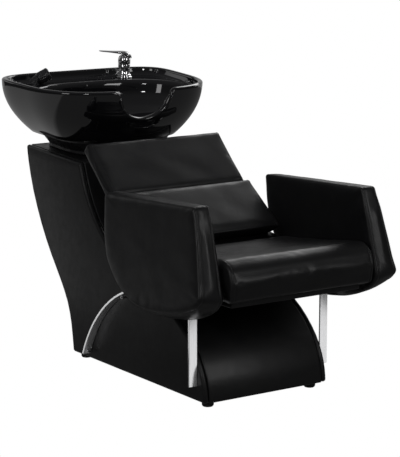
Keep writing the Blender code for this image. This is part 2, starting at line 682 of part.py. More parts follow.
def tilt_parts(pivot):
    """The cradle under the basin, the pin it turns on and the pin's nuts."""
    top = BASIN_LEVELS[-1][0] - BASIN_WALL - GAP
    plate = block((-0.118, -0.105, top - 0.005), (0.118, 0.070, top))
    made = add("bowl_cradle", plate, "black_steel", frame=BASIN_FRAME, pivot=pivot)
    way = turned([(0.046, -0.25), (0.046, -0.1)], 24, Matrix.Translation((0.0, DRAIN_Y, 0.0)))
    join(made, add("cradle_cutout", way, "black_steel", frame=BASIN_FRAME), "DIFFERENCE")
    for sign in (-1, 1):
        xs = sorted((sign * LUG_X, sign * (LUG_X + 0.005)))
        outline = [(PIN_Y + 0.035, top - 0.003), (PIN_Y - 0.035, top - 0.003)]
        for step in range(7):
            angle = pi + pi * step / 6
            outline.append((PIN_Y + 0.012 * cos(angle), PIN_Z + 0.012 * sin(angle)))
        lug = add(f"lug_{sign}", extrude_x(outline, *xs), "black_steel", frame=BASIN_FRAME)
        join(made, lug, "UNION")
    join(made, pin_drill("lug_drill"), "DIFFERENCE")
    axis = along((1.0, 0.0, 0.0), (0.0, PIN_Y, PIN_Z))
    pin = turned([(PIN_RADIUS, -0.124), (PIN_RADIUS, 0.124)], 20, axis)
    add("tilt_pin", pin, "chrome", frame=BASIN_FRAME, smooth=40)
    for side, sign in (("left", -1), ("right", 1)):
        ends = sorted((sign * 0.1085, sign * 0.1165))
        nut = hex_nut(0.0115, PIN_RADIUS + 0.0004, *ends)
        add(f"tilt_nut_{side}", nut, "chrome", frame=BASIN_FRAME @ axis)


# ------------------------------------------------------------------- mixer, shower, hoses


def mixer(pivot, swivel, lift):
    deck = DECK_Z + GAP
    at = Matrix.Translation((*MIXER, deck))
    frame = BASIN_FRAME @ at
    ring = turned([(0.0245, 0.0), (0.0255, 0.003), (0.0245, 0.0055), (0.0235, 0.006)], 28)
    add("mixer_escutcheon", ring, "chrome", frame=frame, pivot=pivot, smooth=40)
    profile = [(0.0225, 0.0064), (0.0225, 0.010), (0.0208, 0.0115), (0.0205, 0.049), (0.0190, 0.0505)]
    add("mixer_body", turned(profile, 28), "chrome", frame=frame, pivot=pivot, smooth=40)
    dome = [(0.0192, 0.0510), (0.0208, 0.0530), (0.0205, 0.0600), (0.0170, 0.0665), (0.0095, 0.0695)]
    add("mixer_dome", turned(dome, 28), "chrome", frame=frame, pivot=swivel, smooth=40)
    shank = ring_solid(SHANK_RADIUS, SHANK_BORE, -0.034, -0.0004, 24)
    add("mixer_shank", shank, "chrome", frame=BASIN_FRAME @ Matrix.Translation((*MIXER, DECK_Z)), pivot=pivot,
        smooth=40)
    nut = hex_nut(0.0270, SHANK_RADIUS + 0.0004, -0.0245, -0.0125)
    add("mixer_locknut", nut, "chrome", frame=BASIN_FRAME @ Matrix.Translation((*MIXER, DECK_Z)), pivot=pivot)
    turn = Matrix.Rotation(radians(LEVER_TURN), 4, "Z")
    add("mixer_lever", lever_shape(), "chrome", frame=frame @ turn, pivot=lift, smooth=40)


def lever_shape():
    """The lever: a blade that starts behind the dome and rises forward to its tip, along +x."""
    stations = [  # distance from the axis, half width, underside z, thickness
        (-0.022, 0.0120, 0.0705, 0.004), (-0.010, 0.0190, 0.0712, 0.010), (0.006, 0.0195, 0.0740, 0.0125),
        (0.022, 0.0160, 0.0830, 0.0095), (0.040, 0.0105, 0.0915, 0.0065), (0.062, 0.0080, 0.0975, 0.0050),
        (0.082, 0.0085, 0.1015, 0.0050), (0.092, 0.0055, 0.1035, 0.0040),
    ]
    rings = []
    for x, half, low, thick in stations:
        ring = []
        for i in range(12):
            angle = 2 * pi * i / 12
            ring.append((x, half * cos(angle), low + thick / 2 * (1 + sin(angle))))
        rings.append(ring)
    return loft(rings)


def hand_shower(pivot, lift):
    """The socket in the deck and the spray that rests in it, leaning to the middle."""
    at = Vector((*SHOWER, DECK_Z))
    flange = turned([(0.0235, GAP), (0.0235, 0.0030), (0.0210, 0.0045)], 24, Matrix.Translation((*SHOWER, DECK_Z)))
    made = add("shower_socket", flange, "black_plastic", frame=BASIN_FRAME, pivot=pivot, smooth=40)
    collar = turned([(0.0168, -0.022), (0.0168, 0.014), (0.0155, 0.016)], 20, along(SHOWER_LEAN, at))
    join(made, add("shower_collar", collar, "black_plastic", frame=BASIN_FRAME), "UNION")
    bore = turned([(0.0128, -0.06), (0.0128, 0.06)], 20, along(SHOWER_LEAN, at))
    join(made, add("shower_bore", bore, "black_plastic", frame=BASIN_FRAME), "DIFFERENCE")
    handle = [(0.0075, -0.046), (0.0095, -0.042), (0.0115, -0.036), (0.0122, 0.016), (0.0135, 0.026),
              (0.0190, 0.036), (0.0232, 0.045), (0.0240, 0.056), (0.0236, 0.072)]
    add("shower_handle", turned(handle, 22), "black_plastic", frame=BASIN_FRAME @ along(SHOWER_LEAN, at),
        pivot=lift, smooth=40)
    plate = [(0.0222, 0.0724), (0.0222, 0.0744), (0.0190, 0.0760)]
    add("shower_spray_plate", turned(plate, 22), "black_plastic", frame=BASIN_FRAME @ along(SHOWER_LEAN, at),
        pivot=lift, smooth=40)


def out_of_shank(across, back):
    """The start of a hose's route, straight down out of the mixer's shank beside its axis."""
    return [(MIXER[0] + across, MIXER[1] + back, z) for z in (-0.036, -0.0665, -0.0730)]


def hoses(pivot):
    """Two supply hoses, the spray's hose in a loop, and the waste hose, all inside the column."""
    supply = {
        "hot_hose": [*out_of_shank(0.0055, -0.007), (0.180, 0.150, -0.112), (0.160, 0.118, -0.140),
                     (0.128, 0.094, -0.170), (0.086, 0.080, -0.205), (0.068, 0.062, -0.245),
                     (0.062, 0.035, -0.320), (0.060, -0.035, -0.430), (0.060, -0.118, -0.540),
                     (0.060, -0.187, -0.630)],
        "cold_hose": [*out_of_shank(0.004, 0.008), (0.158, 0.156, -0.112), (0.141, 0.121, -0.140),
                      (0.110, 0.105, -0.170), (0.066, 0.094, -0.205), (0.050, 0.078, -0.245),
                      (0.040, 0.050, -0.320), (0.036, -0.018, -0.430), (0.034, -0.100, -0.540),
                      (0.034, -0.172, -0.630)],
    }
    for name, route in supply.items():
        tube(name, route, SUPPLY_HOSE, "braided_steel", pivot)
        end = BASIN_FRAME @ Vector(route[-1])
        ahead = (end - BASIN_FRAME @ Vector(route[-2])).normalized()
        nut = turned([(0.0118, 0.0012), (0.0118, 0.0190)], 6, along(ahead, end))
        add(f"{name}_nut", nut, "chrome", pivot=pivot)
    foot = Vector((*SHOWER, DECK_Z)) - 0.050 * SHOWER_LEAN
    lower = foot - 0.014 * SHOWER_LEAN
    loop = [*out_of_shank(-0.009, 0.0), (0.138, 0.162, -0.112), (0.116, 0.124, -0.140), (0.086, 0.116, -0.170),
            (0.046, 0.107, -0.205), (0.028, 0.092, -0.245), (0.014, 0.072, -0.330), (0.004, 0.032, -0.415),
            (-0.020, 0.008, -0.458), (-0.046, 0.024, -0.415), (-0.052, 0.062, -0.330), (-0.052, 0.088, -0.245),
            (-0.066, 0.102, -0.205), (-0.104, 0.114, -0.170), (-0.142, 0.120, -0.140), (-0.186, 0.152, -0.112),
            lower, foot]
    tube("shower_hose", loop, SHOWER_HOSE, "braided_steel", pivot)
    drain = [(0.0, DRAIN_Y, -0.203), (0.0, DRAIN_Y - 0.001, -0.245), (0.0, -0.010, -0.320), (0.0, -0.065, -0.430),
             (0.0, -0.145, -0.530), (0.0, -0.200, -0.600)]
    tube("drain_hose", drain, DRAIN_HOSE, "black_plastic", pivot, sides=14)


def main():
    clear_scene()
    tilt_axis = empty("bowl_tilt_axis", BASIN_FRAME @ Vector((0.0, PIN_Y, PIN_Z)))
    swivel_axis = empty("mixer_swivel_axis", BASIN_FRAME @ Vector((*MIXER, DECK_Z + 0.051)), tilt_axis)
    lever_rear = Vector((*MIXER, DECK_Z)) + Matrix.Rotation(radians(LEVER_TURN), 3, "Z") @ Vector(LEVER_AXIS)
    lift_axis = empty("lever_axis", BASIN_FRAME @ lever_rear, swivel_axis)
    shower_axis = empty("hand_shower_axis", BASIN_FRAME @ Vector((*SHOWER, DECK_Z)), tilt_axis)
    strainer_axis = empty("strainer_axis", BASIN_FRAME @ Vector((0.0, DRAIN_Y, BASIN_LEVELS[-1][0])), tilt_axis)
    carcass()
    side_bars()
    seat()
    arms()
    back()
    pedestal()
    bowl(tilt_axis)
    waste(tilt_axis, strainer_axis)
    tilt_parts(tilt_axis)
    mixer(tilt_axis, swivel_axis, lift_axis)
    hand_shower(tilt_axis, shower_axis)
    hoses(tilt_axis)


main()
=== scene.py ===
"""The looks of the shampoo backwash unit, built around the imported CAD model.

Metres, +Z up, the sitter faces -Y. The padded pieces grow from the outlines of their CAD solids, the
basin is one lofted shell of glazed ceramic, and the rest of the CAD nodes get softened edges and a
finish. The basin's pieces are drawn in the basin frame, whose origin is the middle of the rim's plane.
"""

import json
from math import atan2, cos, hypot, pi, radians, sin, sqrt, tan

import bmesh
import bpy
from mathutils import Matrix, Vector, noise


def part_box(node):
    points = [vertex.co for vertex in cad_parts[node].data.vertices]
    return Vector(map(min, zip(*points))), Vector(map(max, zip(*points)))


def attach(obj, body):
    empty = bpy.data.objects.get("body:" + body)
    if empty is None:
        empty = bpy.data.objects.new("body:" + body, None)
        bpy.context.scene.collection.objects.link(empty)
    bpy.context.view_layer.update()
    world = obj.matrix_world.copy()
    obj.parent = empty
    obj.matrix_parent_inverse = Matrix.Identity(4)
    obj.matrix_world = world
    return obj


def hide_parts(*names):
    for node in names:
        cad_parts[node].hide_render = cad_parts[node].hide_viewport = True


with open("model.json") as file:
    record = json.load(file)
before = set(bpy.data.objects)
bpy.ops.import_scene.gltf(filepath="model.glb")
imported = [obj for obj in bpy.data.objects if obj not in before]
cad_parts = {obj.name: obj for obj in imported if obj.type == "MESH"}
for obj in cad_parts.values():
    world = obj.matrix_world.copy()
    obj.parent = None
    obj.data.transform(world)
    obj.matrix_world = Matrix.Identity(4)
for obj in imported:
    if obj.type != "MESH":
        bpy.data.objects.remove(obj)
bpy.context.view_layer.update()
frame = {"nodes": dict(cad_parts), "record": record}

# Camera
CAMERA_AT = (-3.448, -5.186, 1.659)
LOOK_AT = (0.0317, -0.072, 0.4864)
LENS = 147.7

# Basin frame and basin, as in the CAD
BASIN_SLOPE = 3.0
RIM_CENTRE = (0.0, 0.451, 0.943)
RIM_HALF_WIDTH = 0.3357
RIM_HALF_DEPTH = 0.2507
RIM_TAPER = 0.04
RIM_FRONT_POWER = 2.8
RIM_REAR_POWER = 5.0
RIM_WALL = 0.017
SKIRT_DEPTH = 0.186
SKIRT_TUCK = 0.28
SKIRT_WALL = 0.011
DECK_Z = -0.030
BASIN_POWER = 2.6
BASIN_LEVELS = [  # z, half width, front y, rear y
    (-0.0300, 0.300, -0.232, 0.150), (-0.0800, 0.290, -0.224, 0.144), (-0.1150, 0.262, -0.200, 0.126),
    (-0.1400, 0.212, -0.160, 0.098), (-0.1540, 0.150, -0.108, 0.076), (-0.1590, 0.088, -0.058, 0.054),
]
BASIN_WALL = 0.011
BASIN_ROWS = 34  # rows from the rim's inner edge to the last level
FREE_LEVEL = 10  # index in the inner outline below which the notch has no effect
ROW_STRETCH = 1.35  # the rows reach the free level at one over this share of their count
SKIRT_ROWS = 20
LIP_STEPS = 10
DRAIN_RADIUS = 0.030
NOTCH_HALF_WIDTH = 0.1056
NOTCH_DEPTH = 0.099
NOTCH_CORNER = 0.016
NOTCH_POWER = 0.85  # below 1 the notch's outline is fuller than half an ellipse
NOTCH_COLUMNS = 104
REST_COLUMNS = 150
NOTCH_REGION = 0.165  # how far from the middle the columns still lean towards the notch
LIP = 0.0075  # how far below the edge the rounding of rim and notch begins
MIXER = (0.180, 0.190)
LEVER_TURN = 160.0
SHOWER = (-0.205, 0.186)
SHOWER_LEAN = Vector((0.60, -0.10, 0.79)).normalized()

# Upholstery
FACE_SHARES = (0.93, 0.80, 0.66, 0.52, 0.38, 0.25, 0.13, 0.05)  # rings on a face, from near its middle out
EDGE_STEPS = 5
SEAM_HALF_WIDTH = 0.0016
RING_SPACING = 0.012  # between the rings of the band, at most about this
COVER_PRESSURE = 4.0
COVER_FRAMES = 20
CORNER_STEPS = 6

# Carried-over nodes
BEVEL_SEGMENTS = 4
BEVEL_FROM = 32.0  # edges that turn by more than this many degrees are rounded off
SHARP_FROM = 38.0  # edges that turn by more than this many degrees are shaded sharp on a CAD node
EDGE_SOFTENING = {  # node name's start: how far its edges are rounded off
    "side_panel": 0.0092, "column_front": 0.004, "plinth_front": 0.004, "rear_": 0.004, "top_board": 0.0015,
    "seat_board": 0.004, "back_board": 0.003, "side_bar": 0.0009, "seat_beam": 0.001, "arm_bracket": 0.001,
    "back_bracket": 0.001, "pedestal_plate": 0.0008, "foot": 0.001,
}

# Studio
NOISE_LOW, NOISE_HIGH = 0.3, 0.7  # most values of a noise texture lie between these
BACKDROP_OUTER, BACKDROP_INNER = 48.0, 44.0  # degrees from the view's direction over which it fades in
FLOOR_RADIUS = 6.0
REAR_LEFT = (-0.50, 0.86, 0.0)  # the way the floor's glow grows

BASIN_FRAME = Matrix.Translation(RIM_CENTRE) @ Matrix.Rotation(radians(BASIN_SLOPE), 4, "X")


# ------------------------------------------------------------------------------- node materials


class Nodes:
    """A small writer of shader nodes: each call adds a node and returns it."""

    def __init__(self, tree):
        self.tree = tree
        self.tree.nodes.clear()

    def add(self, kind, **values):
        node = self.tree.nodes.new(kind)
        for name, value in values.items():
            key = name.replace("_", " ").title()
            if key in node.inputs:
                self.feed(node.inputs[key], value)
            else:
                setattr(node, name, value)
        return node

    def feed(self, socket, value):
        if isinstance(value, bpy.types.NodeSocket):
            self.tree.links.new(value, socket)
        else:
            socket.default_value = value

    def link(self, source, target):
        self.tree.links.new(source, target)

    def math(self, operation, a, b=0.0):
        node = self.tree.nodes.new("ShaderNodeMath")
        node.operation = operation
        self.feed(node.inputs[0], a)
        self.feed(node.inputs[1], b)
        return node.outputs[0]

    def remap(self, value, low, high, to_low, to_high):
        node = self.tree.nodes.new("ShaderNodeMapRange")
        for socket, number in zip(node.inputs[1:5], (low, high, to_low, to_high)):
            socket.default_value = number
        self.link(value, node.inputs[0])
        return node.outputs[0]

    def spread(self, noise_value, to_low=0.0, to_high=1.0):
        """A noise value remapped so that nearly all of the target range is used."""
        return self.remap(noise_value, NOISE_LOW, NOISE_HIGH, to_low, to_high)

    def dot(self, vector, direction):
        node = self.tree.nodes.new("ShaderNodeVectorMath")
        node.operation = "DOT_PRODUCT"
        self.link(vector, node.inputs[0])
        node.inputs[1].default_value = direction
        return node.outputs["Value"]

    def by_ray(self, kind, shader, others):
        """One shader for the rays of a kind, such as Is Camera Ray, and another for all others."""
        path = self.add("ShaderNodeLightPath")
        mix = self.add("ShaderNodeMixShader")
        self.link(path.outputs[kind], mix.inputs[0])
        self.link(others, mix.inputs[1])
        self.link(shader, mix.inputs[2])
        return mix.outputs[0]

    def noise(self, vector, scale, detail=2.0, roughness=0.5):
        node = self.add("ShaderNodeTexNoise", scale=scale, detail=detail, roughness=roughness)
        self.link(vector, node.inputs["Vector"])
        return node.outputs["Fac"]

    def cells(self, vector, scale, feature="DISTANCE_TO_EDGE"):
        node = self.tree.nodes.new("ShaderNodeTexVoronoi")
        node.feature = feature
        node.inputs["Scale"].default_value = scale
        self.link(vector, node.inputs["Vector"])
        return node.outputs["Distance"]

    def tint(self, share, dark, light):
        node = self.tree.nodes.new("ShaderNodeMix")
        node.data_type = "RGBA"
        node.inputs["A"].default_value = (*dark, 1.0)
        node.inputs["B"].default_value = (*light, 1.0)
        self.link(share, node.inputs["Factor"])
        return node.outputs["Result"]

    def bump(self, height, distance, strength=1.0, under=None):
        node = self.tree.nodes.new("ShaderNodeBump")
        node.inputs["Strength"].default_value = strength
        node.inputs["Distance"].default_value = distance
        self.link(height, node.inputs["Height"])
        if under is not None:
            self.link(under, node.inputs["Normal"])
        return node.outputs["Normal"]


def new_material(name):
    """A material with one principled shader: (material, node writer, shader, object coordinates)."""
    made = bpy.data.materials.new(name)
    made.use_nodes = True
    nodes = Nodes(made.node_tree)
    output = nodes.add("ShaderNodeOutputMaterial")
    shader = nodes.add("ShaderNodeBsdfPrincipled")
    nodes.link(shader.outputs[0], output.inputs[0])
    place = nodes.add("ShaderNodeTexCoord").outputs["Object"]
    return made, nodes, shader, place


def leatherette():
    """Black coated fabric: fine pebble grain, soft waves, and a gloss that varies a little."""
    made, nodes, shader, place = new_material("leatherette")
    patches = nodes.remap(nodes.noise(place, 9.0, 3.0), 0.35, 0.65, 0.0, 1.0)
    colour = nodes.tint(patches, (0.0065, 0.0065, 0.0070), (0.0095, 0.0095, 0.0100))
    nodes.link(colour, shader.inputs["Base Color"])
    nodes.link(nodes.spread(nodes.noise(place, 38.0, 4.0), 0.36, 0.46), shader.inputs["Roughness"])
    shader.inputs["Specular IOR Level"].default_value = 0.30
    shader.inputs["Coat Weight"].default_value = 0.15
    shader.inputs["Coat Roughness"].default_value = 0.22
    waves = nodes.bump(nodes.noise(place, 14.0, 2.0), 0.0018, 0.5)
    pebbles = nodes.math("MINIMUM", nodes.cells(place, 780.0), 0.22)
    creases = nodes.math("MINIMUM", nodes.cells(place, 310.0), 0.10)
    grain = nodes.math("ADD", pebbles, nodes.math("MULTIPLY", creases, 1.4))
    nodes.link(nodes.bump(grain, 0.00035, 0.35, waves), shader.inputs["Normal"])
    return made


def ceramic():
    """Black glaze over ceramic: deep gloss, with the faint waviness of a fired surface."""
    made, nodes, shader, place = new_material("black_ceramic")
    shader.inputs["Base Color"].default_value = (0.0045, 0.0045, 0.0055, 1.0)
    nodes.link(nodes.spread(nodes.noise(place, 22.0, 3.0), 0.035, 0.065), shader.inputs["Roughness"])
    shader.inputs["Specular IOR Level"].default_value = 0.7
    shader.inputs["Coat Weight"].default_value = 0.6
    shader.inputs["Coat Roughness"].default_value = 0.02
    waves = nodes.bump(nodes.noise(place, 7.0, 1.0), 0.0016, 0.35)
    specks = nodes.bump(nodes.noise(place, 420.0, 2.0), 0.00006, 0.30, waves)
    nodes.link(specks, shader.inputs["Normal"])
    return made


def metal(name, colour, smooth, rough, streak=0.0, along=(1.0, 1.0, 1.0), metallic=1.0):
    """Plated or plain metal; streak stretches the fine lines of its polishing along an axis."""
    made, nodes, shader, place = new_material(name)
    shader.inputs["Metallic"].default_value = metallic
    stretch = nodes.add("ShaderNodeMapping")
    stretch.inputs["Scale"].default_value = along
    nodes.link(place, stretch.inputs["Vector"])
    lines = nodes.noise(stretch.outputs[0], 260.0, 4.0)
    darker = tuple(c * 0.88 for c in colour)
    nodes.link(nodes.tint(nodes.spread(lines), darker, colour), shader.inputs["Base Color"])
    nodes.link(nodes.spread(lines, smooth, rough), shader.inputs["Roughness"])
    nodes.link(nodes.bump(lines, 0.00004, streak), shader.inputs["Normal"])
    return made


def moulded(name, colour, smooth, rough, grain):
    """Moulded plastic or rubber with a fine texture."""
    made, nodes, shader, place = new_material(name)
    patches = nodes.noise(place, 60.0, 3.0)
    lighter = tuple(c * 1.5 + 0.002 for c in colour)
    nodes.link(nodes.tint(nodes.spread(patches), colour, lighter), shader.inputs["Base Color"])
    nodes.link(nodes.spread(patches, smooth, rough), shader.inputs["Roughness"])
    nodes.link(nodes.bump(nodes.noise(place, 1500.0, 2.0), 0.00012, grain), shader.inputs["Normal"])
    return made


def plywood():
    """Bare plywood, its growth rings drawn out along y."""
    made, nodes, shader, place = new_material("plywood")
    stretch = nodes.add("ShaderNodeMapping")
    stretch.inputs["Scale"].default_value = (14.0, 1.0, 14.0)
    nodes.link(place, stretch.inputs["Vector"])
    rings = nodes.noise(stretch.outputs[0], 5.0, 6.0, 0.6)
    colour = nodes.tint(nodes.spread(rings), (0.36, 0.23, 0.12), (0.60, 0.44, 0.27))
    nodes.link(colour, shader.inputs["Base Color"])
    nodes.link(nodes.spread(rings, 0.62, 0.78), shader.inputs["Roughness"])
    nodes.link(nodes.bump(rings, 0.0006, 0.4), shader.inputs["Normal"])
    return made


def braid():
    """Woven steel wire over a hose, its colour darkened in the hollows between the wires as painted shade.
    """
    made, nodes, shader, place = new_material("braided_steel")
    shader.inputs["Metallic"].default_value = 0.9
    weave = nodes.cells(place, 620.0, "F1")
    # painted shade: the steel is coloured darker away from the middle of each cell, down in the hollows of
    # the weave
    sunk = nodes.remap(weave, 0.1, 0.6, 0.0, 1.0)
    nodes.link(nodes.tint(sunk, (0.66, 0.66, 0.67), (0.22, 0.22, 0.23)), shader.inputs["Base Color"])
    shader.inputs["Roughness"].default_value = 0.38
    nodes.link(nodes.bump(weave, 0.0006, 0.8), shader.inputs["Normal"])
    return made


LOOKS = {
    "leatherette": leatherette(),
    "black_ceramic": ceramic(),
    "chrome": metal("chrome", (0.86, 0.86, 0.87), 0.04, 0.09, 0.15),
    "satin_chrome": metal("satin_chrome", (0.84, 0.84, 0.85), 0.16, 0.26, 0.3, (1.0, 0.06, 0.06), 0.72),
    "black_steel": moulded("black_steel", (0.022, 0.022, 0.023), 0.42, 0.55, 0.5),
    "black_plastic": moulded("black_plastic", (0.010, 0.010, 0.011), 0.24, 0.34, 0.25),
    "rubber": moulded("rubber", (0.014, 0.014, 0.014), 0.62, 0.78, 0.8),
    "plywood": plywood(),
    "braided_steel": braid(),
}


# --------------------------------------------------------------------------------- mesh helpers


def clamped(value):
    return max(0.0, min(1.0, value))


def eased(share):
    """0 to 1 with a gentle start and end."""
    return share * share * (3 - 2 * share)


def circle(radius, z, sides):
    turn = 2 * pi / sides
    return [Vector((radius * cos(turn * i), radius * sin(turn * i), z)) for i in range(sides)]


def solid(name, shape, look, body, frame_of=None, smooth=60):
    """An object from a bmesh, with its finish, riding on a CAD body, its edges smooth up to an angle."""
    if frame_of is not None:
        bmesh.ops.transform(shape, matrix=frame_of, verts=shape.verts)
    bmesh.ops.recalc_face_normals(shape, faces=shape.faces)
    mesh = bpy.data.meshes.new(name)
    shape.to_mesh(mesh)
    shape.free()
    mesh.shade_smooth()
    mesh.set_sharp_from_angle(angle=radians(smooth))
    mesh.materials.append(LOOKS[look])
    made = bpy.data.objects.new(name, mesh)
    bpy.context.scene.collection.objects.link(made)
    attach(made, body)
    return made


def loft(rings, closed=False):
    """A bmesh of quads through rings of points; its ends are capped, or the last ring meets the first."""
    shape = bmesh.new()
    made = [[shape.verts.new(point) for point in ring] for ring in rings]
    pairs = list(zip(made, made[1:]))
    if closed:
        pairs.append((made[-1], made[0]))
    for lower, upper in pairs:
        for i in range(len(lower)):
            j = (i + 1) % len(lower)
            shape.faces.new((lower[i], lower[j], upper[j], upper[i]))
    if not closed:
        shape.faces.new(made[0])
        shape.faces.new(made[-1])
    return shape


def turned(profile, sides):
    """A solid of revolution about z from (radius, z) points."""
    return loft([circle(radius, z, sides) for radius, z in profile])


def along(direction, origin):
    """A frame at an origin, with its z axis in a direction."""
    turn = Vector(direction).to_track_quat("Z", "Y").to_matrix().to_4x4()
    return Matrix.Translation(origin) @ turn


def hull_outline(node):
    """The convex outline of a CAD node seen along x, as (y, z) points going round once."""
    points = sorted({(round(v.co.y, 5), round(v.co.z, 5)) for v in frame["nodes"][node].data.vertices})

    def half(ordered):
        chain = []
        for p in ordered:
            while len(chain) > 1:
                a, b = chain[-2], chain[-1]
                if (b[0] - a[0]) * (p[1] - a[1]) - (b[1] - a[1]) * (p[0] - a[0]) > 1e-7:
                    break
                chain.pop()
            chain.append(p)
        return chain[:-1]

    return [Vector(p) for p in half(points) + half(points[::-1])]


def merged(outline, shortest):
    """The outline without points closer together than the shortest edge."""
    kept = []
    for point in outline:
        if not kept or (point - kept[-1]).length > shortest:
            kept.append(point)
    if (kept[0] - kept[-1]).length <= shortest:
        kept.pop()
    return kept


def rounded(outline, radius, gentle=22.0):
    """The outline with its sharp corners rounded to a radius and its gentle ones made one curve."""
    path = []
    count = len(outline)
    for i, point in enumerate(outline):
        before, after = outline[i - 1] - point, outline[(i + 1) % count] - point
        turn = pi - before.angle(after)
        reach = radius * tan(turn / 2) if turn > radians(gentle) else 0.5 * min(before.length, after.length)
        reach = min(reach, 0.5 * before.length, 0.5 * after.length)
        start, end = point + before.normalized() * reach, point + after.normalized() * reach
        for step in range(CORNER_STEPS + 1):
            t = step / CORNER_STEPS
            path.append(start * (1 - t) ** 2 + point * 2 * t * (1 - t) + end * t**2)
    return path


def path_lengths(path):
    """How far along the path each of its points is."""
    lengths = [0.0]
    for before, after in zip(path, path[1:]):
        lengths.append(lengths[-1] + (after - before).length)
    return lengths


def point_at(path, lengths, wanted):
    """The point at a distance along the path."""
    segment = 0
    while segment < len(path) - 2 and lengths[segment + 1] < wanted:
        segment += 1
    span = lengths[segment + 1] - lengths[segment]
    share = (wanted - lengths[segment]) / span if span > 0 else 0.0
    return path[segment].lerp(path[segment + 1], min(1.0, share))


def even(path, count):
    """The closed path as evenly spaced points."""
    closed = [*path, path[0]]
    lengths = path_lengths(closed)
    return [point_at(closed, lengths, lengths[-1] * i / count) for i in range(count)]


def outward(outline):
    """The outward normal at each point of an outline that goes round anticlockwise."""
    normals = []
    count = len(outline)
    for i in range(count):
        side = (outline[(i + 1) % count] - outline[i - 1]).normalized()
        normals.append(Vector((side.y, -side.x)))
    return normals


def wrapped(node, look, width):
    """A new piece on the base with the shape of a CAD node, its sharp edges rounded off by a width."""
    source = frame["nodes"][node].data
    shape = bmesh.new()
    corners = [shape.verts.new(v.co) for v in source.vertices]
    for polygon in source.polygons:
        shape.faces.new([corners[i] for i in polygon.vertices])
    bmesh.ops.remove_doubles(shape, verts=shape.verts, dist=0.00002)
    bmesh.ops.dissolve_limit(shape, angle_limit=radians(0.6), verts=shape.verts, edges=shape.edges)
    turn = radians(BEVEL_FROM)
    sharp = [edge for edge in shape.edges if len(edge.link_faces) == 2 and edge.calc_face_angle() > turn]
    bmesh.ops.bevel(shape, geom=sharp, offset=width, segments=BEVEL_SEGMENTS, profile=0.5, affect="EDGES",
                    clamp_overlap=True)
    made = solid(f"{node}_finished", shape, look, "base", smooth=BEVEL_FROM)
    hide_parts(node)
    return made


# -------------------------------------------------------------------------------- upholstery


def padded_rings(width, edge, crown, groove):
    """How an upholstered piece is skinned, from one face over its band to the other.

    Each ring is (inset from the outline, share towards the face's middle, distance across the piece,
    lift out of the surface). edge is the radius of the piece's edges, crown how far a face's middle
    stands out, and groove how deep the seam is beside the edge.
    """
    rings = []
    for share in FACE_SHARES:
        rings.append((edge, share, 0.0, crown * (share * (2 - share)) ** 0.8))
    rings.append((edge, 0.0, 0.0, 0.0))
    for step in range(1, EDGE_STEPS + 1):
        angle = pi / 2 * step / EDGE_STEPS
        rings.append((edge * (1 - sin(angle)), 0.0, edge * (1 - cos(angle)), 0.0))
    rings.append((groove, 0.0, edge + SEAM_HALF_WIDTH, 0.0))
    other_side = [(inset, share, width - distance, lift) for inset, share, distance, lift in reversed(rings)]
    start = edge + 2 * SEAM_HALF_WIDTH
    band = width - 2 * start
    spans = max(2, round(band / RING_SPACING))
    for step in range(spans + 1):
        rings.append((0.0, 0.0, start + band * step / spans, 0.0))
    return rings + other_side


def upholstered(name, node, outline, place, width, edge, crown, groove=0.0012):
    """A padded piece in leatherette, skinned ring by ring from one face of a CAD node to the other.

    place turns a point of the outline, a share of the width and a lift into a point in space.
    """
    normals = outward(outline)
    middle = sum(outline, Vector((0.0, 0.0))) / len(outline)
    rings = []
    for inset, share, distance, lift in padded_rings(width, edge, crown, groove):
        ring = []
        over = distance / width
        for point, normal in zip(outline, normals):
            flat = point - normal * inset
            ring.append(place(flat.lerp(middle, share), over, lift * (1 if over > 0.5 else -1)))
        rings.append(ring)
    made = solid(name, loft(rings), "leatherette", "base", smooth=180)
    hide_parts(node)
    return made


def puffed(obj, cap):
    """Blows the cover up a little with a cloth simulation, no point moving further than the cap."""
    rest = [v.co.copy() for v in obj.data.vertices]
    cloth = obj.modifiers.new("Cover", "CLOTH")
    cloth.settings.quality = 5
    cloth.settings.mass = 0.3
    cloth.settings.tension_stiffness = 20.0
    cloth.settings.compression_stiffness = 12.0
    cloth.settings.shear_stiffness = 8.0
    cloth.settings.bending_stiffness = 1.2
    cloth.settings.use_pressure = True
    cloth.settings.uniform_pressure_force = COVER_PRESSURE
    cloth.settings.effector_weights.gravity = 0.0
    cloth.collision_settings.use_collision = False
    cloth.point_cache.frame_start = 1
    cloth.point_cache.frame_end = COVER_FRAMES
    scene = bpy.context.scene
    for step in range(1, COVER_FRAMES + 1):
        scene.frame_set(step)
    blown = obj.evaluated_get(bpy.context.evaluated_depsgraph_get())
    moved = [v.co.copy() for v in blown.data.vertices]
    obj.modifiers.remove(cloth)
    for vertex, before, after in zip(obj.data.vertices, rest, moved):
        shift = after - before
        vertex.co = before + shift * (cap / max(cap, shift.length))
    obj.data.update()
    scene.frame_set(1)


def ripple(obj, height, scale, seed):
    """Moves each point along its normal by smooth noise, as leather lies over foam."""
    mesh = obj.data
    normals = [v.normal.copy() for v in mesh.vertices]
    for vertex, normal in zip(mesh.vertices, normals):
        place = vertex.co * scale + Vector((seed, 2 * seed, 0.0))
        vertex.co += normal * height * noise.noise(place)
    mesh.update()


def subdivided(obj):
    """Smooths the mesh by one level of subdivision."""
    modifier = obj.modifiers.new("Smooth", "SUBSURF")
    modifier.levels = 1
    modifier.render_levels = 1


